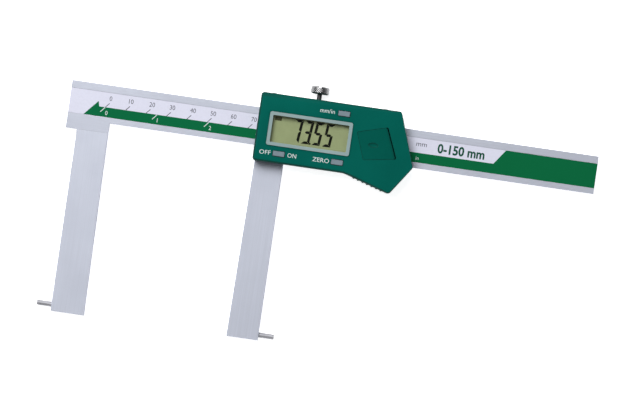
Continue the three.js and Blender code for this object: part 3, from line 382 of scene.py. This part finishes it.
def dress(node, material, edge_mm, segments=2):
    """Gives a CAD piece its material and soft machined or moulded edges, leaving its mesh as it is."""
    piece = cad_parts[node]
    piece.data.materials.clear()
    piece.data.materials.append(material)
    for polygon in piece.data.polygons:
        polygon.use_smooth = True
    weld = piece.modifiers.new("weld", "WELD")
    weld.merge_threshold = WELD_REACH
    flatten = piece.modifiers.new("flatten", "DECIMATE")
    flatten.decimate_type = "DISSOLVE"
    flatten.angle_limit = math.radians(FLAT_DEGREES)
    bevel = piece.modifiers.new("edges", "BEVEL")
    bevel.width = edge_mm * MM
    bevel.segments = segments
    bevel.limit_method = "ANGLE"
    bevel.angle_limit = math.radians(EDGE_DEGREES)
    even = piece.modifiers.new("even_shading", "WEIGHTED_NORMAL")
    even.weight = 100
    even.keep_sharp = True


dress("beam", beam_steel, 0.08)
dress("fixed_leg", lit_leg_steel, 0.05)
dress("moving_leg", lit_leg_steel, 0.12)
dress("slider_frame", beam_steel, 0.15)
dress("end_stop", beam_steel, 0.12)
dress("scale_grid_strip", board_green, 0.03)
dress("scale_label", film_white, 0.02)
dress("fixed_pin", pin_steel, 0.06)
dress("moving_pin", pin_steel, 0.06)
dress("gib_strip", brass, 0.08)
dress("lock_pad", brass, 0.08)
dress("housing", teal_plastic, 0.12)
dress("battery_cover", shaded_cover_plastic, 0.14)
dress("display_bezel", bezel_plastic, 0.30, segments=3)
dress("display_window", window_clear, 0.05)
dress("lcd_panel", lcd_ground, 0.05)
dress("main_board", board_green, 0.03)
dress("controller_blob", black_rubber, 0.05)
dress("battery", battery_metal, 0.10)
for side in ("upper", "lower"):
    dress(f"zebra_strip_{side}", black_rubber, 0.05)
    dress(f"board_screw_{side}", screw_metal, 0.05)
for side in ("left", "right"):
    dress(f"gib_screw_{side}", screw_metal, 0.08)
    dress(f"end_stop_screw_{side}", screw_metal, 0.06)
for corner in ("upper_left", "upper_right", "lower_left", "lower_right"):
    dress(f"housing_screw_{corner}", screw_metal, 0.06)
for pole in ("negative", "positive"):
    dress(f"battery_contact_{pole}", brass, 0.03)
for use in ("power", "zero", "unit"):
    dress(f"{use}_switch_dome", battery_metal, 0.03)
    dress(f"{use}_button", button_rubber, 0.12)

# ---------------------------------------------------------------- mesh helpers

MERGE_REACH = 0.00002 * MM


def evaluated_mesh(holder):
    """A new mesh of an object with its modifiers or its text applied."""
    return bpy.data.meshes.new_from_object(holder.evaluated_get(bpy.context.evaluated_depsgraph_get()))


def add_piece(name, mesh, body, material):
    """Links a mesh as a piece that rides on a body."""
    piece = bpy.data.objects.new(name, mesh)
    bpy.context.scene.collection.objects.link(piece)
    mesh.materials.append(material)
    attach(piece, body)
    return piece


def slab(shape, corners, z, thickness=PRINT_THICKNESS):
    """Adds a thin flat prism over an anticlockwise outline of (x, y) corners, standing on height z."""
    low = [shape.verts.new((x, y, z)) for x, y in corners]
    high = [shape.verts.new((x, y, z + thickness)) for x, y in corners]
    shape.faces.new(high)
    shape.faces.new(low[::-1])
    count = len(corners)
    for i in range(count):
        after = (i + 1) % count
        shape.faces.new((low[i], low[after], high[after], high[i]))


def rectangle(left, right, low, high):
    """The corners of an upright rectangle, anticlockwise."""
    return [(left, low), (right, low), (right, high), (left, high)]


def stroke(shape, start, end, width, z):
    """Adds a straight printed line between two points."""
    (x0, y0), (x1, y1) = start, end
    across = Vector((y0 - y1, x1 - x0)).normalized() * width / 2
    corners = [
        (x0 - across.x, y0 - across.y),
        (x1 - across.x, y1 - across.y),
        (x1 + across.x, y1 + across.y),
        (x0 + across.x, y0 + across.y),
    ]
    slab(shape, corners, z)


def letter(shape, text, height, x, y, z, narrow=0.9, bold=0.0):
    """Adds text as thin solids. (x, y) is its lower left corner and height is its tallest letter's."""
    font = bpy.data.curves.new("lettering", "FONT")
    font.body = text
    font.extrude = 0.5
    font.offset = bold
    font.resolution_u = 3
    holder = bpy.data.objects.new("lettering", font)
    bpy.context.scene.collection.objects.link(holder)
    bpy.context.view_layer.update()
    mesh = evaluated_mesh(holder)
    bpy.data.objects.remove(holder)
    bpy.data.curves.remove(font)
    tall = max(v.co.y for v in mesh.vertices)
    left = min(v.co.x for v in mesh.vertices)
    size = height / tall
    move = Matrix.Translation((x - left * size * narrow, y, z + PRINT_THICKNESS / 2))
    mesh.transform(move @ Matrix.Diagonal((size * narrow, size, PRINT_THICKNESS, 1.0)))
    shape.from_mesh(mesh)
    bpy.data.meshes.remove(mesh)


def finish_mesh(shape, name):
    """Turns the shape into a mesh whose faces point outwards."""
    bmesh.ops.remove_doubles(shape, verts=shape.verts[:], dist=MERGE_REACH)
    bmesh.ops.recalc_face_normals(shape, faces=shape.faces[:])
    mesh = bpy.data.meshes.new(name)
    shape.to_mesh(mesh)
    shape.free()
    return mesh


# ---------------------------------------------------------------- printing on the beam's label

# Places along the scale and down the beam, in millimetres.
STRIPE_TOP = 10.9
STRIPE_START = -10.0
STRIPE_POINT = -3.6
STRIPE_POINT_TOP = 8.3
STRIPE_POINT_END = -3.0
BLOCK_START = 190.3
BLOCK_START_TOP = 195.5
MARK_SPACING = 10
MARK_TOP = 8.8
MARK_LEAN = 1.8
LAST_MARK = 140
NUMBER_BASE = 7.5
NUMBER_AFTER_MARK = 1.0
ZERO_AFTER_MARK = 1.5
UNIT_START = 152.0
UNIT_BASE = 7.6
RANGE_START = 162.5
RANGE_BASE = 9.5
INCH = 25.4
INCH_MARK_TOP = 11.0
INCH_MARK_BASE = 13.4
INCH_MARK_BACK = 2.1
INCH_MARK_GAP = 0.1
LAST_INCH = 5
INCH_NUMBER_BASE = 14.6
INCH_NUMBER_AFTER_MARK = 0.3
INCH_UNIT_START = 152.6
INCH_UNIT_BASE = 14.4

PRINT_FRONT = label_high.z
PRINT_MARGIN = 0.03 * MM
BEAM_END_MARGIN = 0.05 * MM
MARK_WIDTH = 0.34 * MM
NUMBER_HEIGHT = 2.2 * MM
UNIT_HEIGHT = 1.5 * MM
RANGE_HEIGHT = 4.5 * MM
INCH_MARK_WIDTH = 0.36 * MM
INCH_NUMBER_HEIGHT = 2.0 * MM
INCH_UNIT_HEIGHT = 1.7 * MM


def make_green_print():
    """The green stripe, with its pointed start and the solid block at its far end."""
    shape = bmesh.new()
    bottom = label_low.y + PRINT_MARGIN
    top = label_high.y - PRINT_MARGIN
    end = beam_high.x - BEAM_END_MARGIN
    stripe = down_beam(STRIPE_TOP)
    outline = [
        (along_scale(STRIPE_START), bottom),
        (end, bottom),
        (end, top),
        (along_scale(BLOCK_START_TOP), top),
        (along_scale(BLOCK_START), stripe),
        (along_scale(STRIPE_POINT_END), stripe),
        (along_scale(STRIPE_POINT), down_beam(STRIPE_POINT_TOP)),
    ]
    slab(shape, outline, PRINT_FRONT)
    add_piece("label_green_print", finish_mesh(shape, "label_green_print"), "beam", film_green)


def make_dark_print():
    """Leaning millimetre marks with their numbers, and the unit's name."""
    shape = bmesh.new()
    for mark in range(0, LAST_MARK + 1, MARK_SPACING):
        start = (along_scale(mark), down_beam(STRIPE_TOP))
        end = (along_scale(mark + MARK_LEAN), down_beam(MARK_TOP))
        stroke(shape, start, end, MARK_WIDTH, PRINT_FRONT)
        number_x = along_scale(mark + (ZERO_AFTER_MARK if mark == 0 else NUMBER_AFTER_MARK))
        letter(shape, str(mark), NUMBER_HEIGHT, number_x, down_beam(NUMBER_BASE), PRINT_FRONT)
    unit_x = along_scale(UNIT_START)
    letter(shape, "mm", UNIT_HEIGHT, unit_x, down_beam(UNIT_BASE), PRINT_FRONT, narrow=1.1)
    add_piece("label_dark_print", finish_mesh(shape, "label_dark_print"), "beam", ink_dark)


def make_range_print():
    """The measuring range, in the blank part of the white field."""
    shape = bmesh.new()
    range_x = along_scale(RANGE_START)
    letter(shape, "0-150 mm", RANGE_HEIGHT, range_x, down_beam(RANGE_BASE), PRINT_FRONT, bold=0.03)
    add_piece("label_range_print", finish_mesh(shape, "label_range_print"), "beam", ink_range)


def make_white_print():
    """Inch marks and numbers in white on the stripe."""
    shape = bmesh.new()
    z = PRINT_FRONT + PRINT_THICKNESS * 0.5
    for inch in range(0, LAST_INCH + 1):
        mark = inch * INCH
        start = (along_scale(mark - INCH_MARK_BACK), down_beam(INCH_MARK_BASE))
        end = (along_scale(mark - INCH_MARK_GAP), down_beam(INCH_MARK_TOP))
        stroke(shape, start, end, INCH_MARK_WIDTH, z)
        number_x = along_scale(mark + INCH_NUMBER_AFTER_MARK)
        letter(shape, str(inch), INCH_NUMBER_HEIGHT, number_x, down_beam(INCH_NUMBER_BASE), z)
    letter(shape, "in", INCH_UNIT_HEIGHT, along_scale(INCH_UNIT_START), down_beam(INCH_UNIT_BASE), z)
    add_piece("label_white_print", finish_mesh(shape, "label_white_print"), "beam", ink_white)


make_green_print()
make_dark_print()
make_range_print()
make_white_print()

# ---------------------------------------------------------------- display digits

DIGIT_WIDTH = 4.05 * MM
DIGIT_HEIGHT = 11.3 * MM
DIGIT_PITCH = 5.15 * MM
DIGIT_STROKE = 1.30 * MM
DIGIT_GAP = 0.05 * MM
DIGIT_SLANT = math.tan(math.radians(6.0))
READING = "7355"
READING_TOP_MARGIN = 1.3 * MM
READING_RIGHT_MARGIN = 8.7 * MM
POINT_AFTER = 1
POINT_BEFORE_DIGIT = 0.75 * MM
POINT_HALF = 0.42 * MM
FLAG_WIDTH = 3.3 * MM
FLAG_HEIGHT = 1.8 * MM
FLAG_LEFT_MARGIN = 1.8 * MM
FLAG_DROP = 3.2 * MM
LIT = {"7": "abc", "3": "abgcd", "5": "afgcd"}


def segment_outlines(width, height, bar, gap):
    """The seven bars of a digit as mitred outlines, with the digit's lower left corner at 0, 0."""
    half = bar / 2
    middle = height / 2
    inner_left = bar + gap
    inner_right = width - bar - gap
    under_top = height - bar
    top = [(inner_left, under_top), (inner_right, under_top), (width - gap, height), (gap, height)]
    upper_left = [(0, middle + gap), (half, middle + gap), (bar, middle + half + gap),
                  (bar, under_top - gap), (0, height - gap)]
    centre = [(half + gap, middle), (inner_left, middle - half), (inner_right, middle - half),
              (width - half - gap, middle), (inner_right, middle + half), (inner_left, middle + half)]

    def flip_x(outline):
        return [(width - x, y) for x, y in outline][::-1]

    def flip_y(outline):
        return [(x, height - y) for x, y in outline][::-1]

    return {
        "a": top,
        "b": flip_x(upper_left),
        "c": flip_x(flip_y(upper_left)),
        "d": flip_y(top),
        "e": flip_y(upper_left),
        "f": upper_left,
        "g": centre,
    }


def make_reading():
    """The reading in slanted digits of up to seven bars, with its decimal point."""
    shape = bmesh.new()
    bars = segment_outlines(DIGIT_WIDTH, DIGIT_HEIGHT, DIGIT_STROKE, DIGIT_GAP)
    base_y = lcd_high.y - READING_TOP_MARGIN - DIGIT_HEIGHT
    last_x = lcd_high.x - READING_RIGHT_MARGIN - DIGIT_WIDTH
    places = [last_x - (len(READING) - 1 - i) * DIGIT_PITCH for i in range(len(READING))]
    for x, digit in zip(places, READING):
        for name in LIT[digit]:
            corners = [(x + across + up * DIGIT_SLANT, base_y + up) for across, up in bars[name]]
            slab(shape, corners, lcd_high.z)
    point_x = places[POINT_AFTER + 1] - POINT_BEFORE_DIGIT
    point = rectangle(point_x - POINT_HALF, point_x + POINT_HALF, base_y, base_y + 2 * POINT_HALF)
    slab(shape, point, lcd_high.z)
    add_piece("lcd_reading", finish_mesh(shape, "lcd_reading"), "slider", lcd_ink)


def make_flag():
    """The faint bar in the display's upper left corner."""
    left = lcd_low.x + FLAG_LEFT_MARGIN
    low = lcd_high.y - FLAG_DROP
    shape = bmesh.new()
    slab(shape, rectangle(left, left + FLAG_WIDTH, low, low + FLAG_HEIGHT), lcd_high.z)
    add_piece("lcd_flag", finish_mesh(shape, "lcd_flag"), "slider", lcd_ink_faint)


make_reading()
make_flag()

# ---------------------------------------------------------------- legends on the housing

LEGEND_HEIGHT = 2.05 * MM
OFF_START = -5.85 * MM
ON_START = 0.65 * MM
ZERO_START = -8.3 * MM
UNITS_START = -8.05 * MM
UNITS_RAISED = 0.3 * MM


def legend_base(low, high):
    """The Y on which a legend stands to be level with a button's middle."""
    return (low.y + high.y) / 2 - LEGEND_HEIGHT / 2


def make_legends():
    """White words beside the three buttons."""
    shape = bmesh.new()
    power_low, power_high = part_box("power_button")
    zero_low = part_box("zero_button")[0]
    unit_low, unit_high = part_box("unit_button")
    base = legend_base(power_low, power_high)
    unit_base = legend_base(unit_low, unit_high) + UNITS_RAISED
    letter(shape, "OFF", LEGEND_HEIGHT, power_low.x + OFF_START, base, housing_front, narrow=1.1)
    letter(shape, "ON", LEGEND_HEIGHT, power_high.x + ON_START, base, housing_front, narrow=0.98)
    letter(shape, "ZERO", LEGEND_HEIGHT, zero_low.x + ZERO_START, base, housing_front, narrow=1.08)
    letter(shape, "mm/in", LEGEND_HEIGHT, unit_low.x + UNITS_START, unit_base, housing_front, narrow=0.98)
    add_piece("housing_legends", finish_mesh(shape, "housing_legends"), "slider", ink_white)


make_legends()

# ---------------------------------------------------------------- lock screw

KNOB_LENGTH = 3.9 * MM
KNOB_RIDGES = 30
KNOB_ROUNDING = 1.0 * MM
KNOB_SLOT_WIDTH = 0.9 * MM
KNOB_SLOT_DEPTH = 0.55 * MM
KNURL_DEPTH = 0.11 * MM
KNURL_FADE = 0.8
POINTS_PER_RIDGE = 8
KNOB_ROWS = 40
SLOT_CUTTER_REACH = 6.0 * MM
SLOT_CUTTER_RISE = 1.0 * MM
SHARP_DEGREES = 35
THREAD_RADIUS = 1.25 * MM
THREAD_LENGTH = 3.9 * MM
THREAD_PITCH = 0.45 * MM
THREAD_DEPTH = 0.22 * MM
THREAD_RUN_OUT = 0.3 * MM
THREAD_STEPS_PER_TURN = 8
TIP_TAPER = 0.2 * MM
NECK_RADIUS = 1.2 * MM
NECK_GAP = 0.01 * MM
SHAFT_SIDES = 24


def ridge(angle, height, radius):
    """Diamond knurl: 1 on a diamond's peak and 0 in the crossing grooves."""
    turn = angle * KNOB_RIDGES / (2 * math.pi)
    climb = height / (2 * math.pi * radius / KNOB_RIDGES)
    first = abs(((turn + climb) % 1.0) * 2 - 1)
    second = abs(((turn - climb) % 1.0) * 2 - 1)
    return min(first, second)


def turned_rings(centre, rings, around, shape):
    """Closes a turned solid: each ring is a height along Y and a radius for each angle."""
    made = []
    for y, reach in rings:
        if reach is None:
            made.append([shape.verts.new((centre.x, y, centre.z))] * around)
            continue
        angles = [2 * math.pi * i / around for i in range(around)]
        made.append([
            shape.verts.new((centre.x + reach(a) * math.cos(a), y, centre.z + reach(a) * math.sin(a)))
            for a in angles
        ])
    for first, second in zip(made, made[1:]):
        for i in range(around):
            after = (i + 1) % around
            corners = [first[i], second[i], second[after], first[after]]
            shape.faces.new(list(dict.fromkeys(corners)))


def make_lock_shaft(shape, centre, start, end):
    """The threaded shaft, with a helical groove and a plain neck."""
    thread_end = start + THREAD_LENGTH
    count = int((thread_end - start) / THREAD_PITCH * THREAD_STEPS_PER_TURN)

    def thread(y):
        fade = min(1.0, (y - start) / THREAD_RUN_OUT, (thread_end - y) / THREAD_RUN_OUT)

        def reach(angle):
            wave = abs(((angle / (2 * math.pi) + (y - start) / THREAD_PITCH) % 1.0) * 2 - 1)
            return THREAD_RADIUS - THREAD_DEPTH * (1 - wave) * fade - TIP_TAPER * (1 - fade)
        return reach

    def neck(angle):
        return NECK_RADIUS

    rings = [(start, None)]
    for i in range(count + 1):
        y = start + (thread_end - start) * i / count
        rings.append((y, thread(y)))
    rings += [(thread_end + THREAD_RUN_OUT / 2, neck), (end, neck), (end, None)]
    turned_rings(centre, rings, SHAFT_SIDES, shape)


def make_knob(shape, centre, back, front, radius):
    """The knob: diamond knurled, with well rounded rims."""
    def rim(y):
        """The knob's radius at a height, and how strong its knurl is there."""
        inside = min(y - back, front - y)
        if inside >= KNOB_ROUNDING:
            return radius, 1.0
        short = 1 - inside / KNOB_ROUNDING
        rounded = KNOB_ROUNDING * (1 - math.sqrt(max(0.0, 1 - short * short)))
        return radius - rounded, 1.0 - KNURL_FADE * short

    def knurled(y):
        reach, strength = rim(y)
        return lambda angle: reach - KNURL_DEPTH * strength * (1 - ridge(angle, y - back, radius))

    rows = [back + (front - back) * i / KNOB_ROWS for i in range(KNOB_ROWS + 1)]
    rings = [(back, None), *((y, knurled(y)) for y in rows), (front, None)]
    turned_rings(centre, rings, KNOB_RIDGES * POINTS_PER_RIDGE, shape)


def cut_slot(piece, centre, front):
    """Cuts the screwdriver slot across the knob's front end."""
    shape = bmesh.new()
    half = KNOB_SLOT_WIDTH / 2
    outline = rectangle(centre.x - half, centre.x + half, front - KNOB_SLOT_DEPTH, front + SLOT_CUTTER_RISE)
    slab(shape, outline, centre.z - SLOT_CUTTER_REACH, 2 * SLOT_CUTTER_REACH)
    cutter = bpy.data.objects.new("slot_cutter", finish_mesh(shape, "slot_cutter"))
    bpy.context.scene.collection.objects.link(cutter)
    cut = piece.modifiers.new("slot", "BOOLEAN")
    cut.object = cutter
    cut.solver = "EXACT"
    bpy.context.view_layer.update()
    done = evaluated_mesh(piece)
    piece.modifiers.clear()
    piece.data = done
    bpy.data.objects.remove(cutter)


def make_lock_screw():
    """A knurled knob with rounded rims and a slot, on a dark threaded shaft, about the screw's own axis."""
    low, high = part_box("lock_screw")
    centre = Vector(((low.x + high.x) / 2, 0.0, (low.z + high.z) / 2))
    radius = (high.x - low.x) / 2
    knob_back = high.y - KNOB_LENGTH
    knob = bmesh.new()
    make_knob(knob, centre, knob_back, high.y, radius)
    piece = add_piece("lock_screw_knurled", finish_mesh(knob, "lock_screw_knob"), "lock_screw", knob_metal)
    cut_slot(piece, centre, high.y)
    shape = bmesh.new()
    shape.from_mesh(piece.data)
    make_lock_shaft(shape, centre, low.y, knob_back - NECK_GAP)
    mesh = finish_mesh(shape, "lock_screw_knurled")
    mesh.materials.append(knob_metal)
    mesh.materials.append(neck_metal)
    for polygon in mesh.polygons:
        polygon.use_smooth = True
        if polygon.center.y < knob_back - NECK_GAP / 2:
            polygon.material_index = 1
    mesh.set_sharp_from_angle(angle=math.radians(SHARP_DEGREES))
    piece.data = mesh
    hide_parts("lock_screw")


make_lock_screw()

# ---------------------------------------------------------------- floor, light and camera

FLOOR_HALF = 3.0
FLOOR_GAP = 0.05 * MM
FLOOR_GLOW = 0.82
SKY_LOW = 1.60
SKY_HIGH = 0.18
SKY_FADE_START = 0.05
SKY_FADE_END = 0.28
SKY_COLOUR = (0.97, 0.98, 1.0, 1.0)
KEY_PLACE = (-0.45, 0.62, 1.25)
KEY_SIZE = 0.85
KEY_POWER = 21.0
CAMERA_DISTANCE = 2.5
CAMERA_ALONG_SCALE = 107.9
CAMERA_DOWN_BEAM = 45.6
CAMERA_ROLL_DEGREES = 8.29
SEEN_WIDTH = 305.8 * MM


def make_floor():
    """A wide, pale floor just below the caliper, which glows so that it stays white."""
    mesh = bpy.data.meshes.new("floor")
    z = cad_bounds[0][2] - FLOOR_GAP
    corners = [(x, y, z) for x, y in rectangle(-FLOOR_HALF, FLOOR_HALF, -FLOOR_HALF, FLOOR_HALF)]
    mesh.from_pydata(corners, [], [(0, 1, 2, 3)])
    floor = bpy.data.objects.new("floor", mesh)
    bpy.context.scene.collection.objects.link(floor)
    look = Look("pale_floor", (0.90, 0.90, 0.91), 0.9, Emission_Color=WHITE, Emission_Strength=FLOOR_GLOW)
    mesh.materials.append(look.material)


def make_key_light():
    """A large square lamp at the upper left, turned towards the caliper."""
    lamp = bpy.data.lights.new("key_light", "AREA")
    lamp.shape = "SQUARE"
    lamp.size = KEY_SIZE
    lamp.energy = KEY_POWER
    holder = bpy.data.objects.new("key_light", lamp)
    bpy.context.scene.collection.objects.link(holder)
    holder.location = KEY_PLACE
    holder.rotation_euler = (-Vector(KEY_PLACE)).to_track_quat("-Z", "Y").to_euler()


def make_sky():
    """An even studio, brighter near the horizon than overhead."""
    world = bpy.data.worlds.new("studio")
    world.use_nodes = True
    tree = world.node_tree
    background = tree.nodes["Background"]
    direction = tree.nodes.new("ShaderNodeTexCoord").outputs["Generated"]
    split = tree.nodes.new("ShaderNodeSeparateXYZ")
    tree.links.new(direction, split.inputs["Vector"])
    height = tree.nodes.new("ShaderNodeMapRange")
    for socket, value in (("From Min", SKY_FADE_START), ("From Max", SKY_FADE_END),
                          ("To Min", SKY_LOW), ("To Max", SKY_HIGH)):
        height.inputs[socket].default_value = value
    tree.links.new(split.outputs["Z"], height.inputs["Value"])
    background.inputs["Color"].default_value = SKY_COLOUR
    tree.links.new(height.outputs["Result"], background.inputs["Strength"])
    bpy.context.scene.world = world


def make_camera():
    """Straight above the caliper and far away, rolled so that the beam falls to the right."""
    camera = bpy.data.cameras.new("camera")
    camera.sensor_width = 36.0
    camera.lens = camera.sensor_width * CAMERA_DISTANCE / SEEN_WIDTH
    camera.clip_start = 0.01
    holder = bpy.data.objects.new("camera", camera)
    bpy.context.scene.collection.objects.link(holder)
    above = beam_high.z + CAMERA_DISTANCE
    holder.location = (along_scale(CAMERA_ALONG_SCALE), down_beam(CAMERA_DOWN_BEAM), above)
    holder.rotation_euler = (0.0, 0.0, math.radians(CAMERA_ROLL_DEGREES))
    bpy.context.scene.camera = holder


make_floor()
make_sky()
make_key_light()
make_camera()
bpy.context.scene.view_settings.view_transform = "Standard"
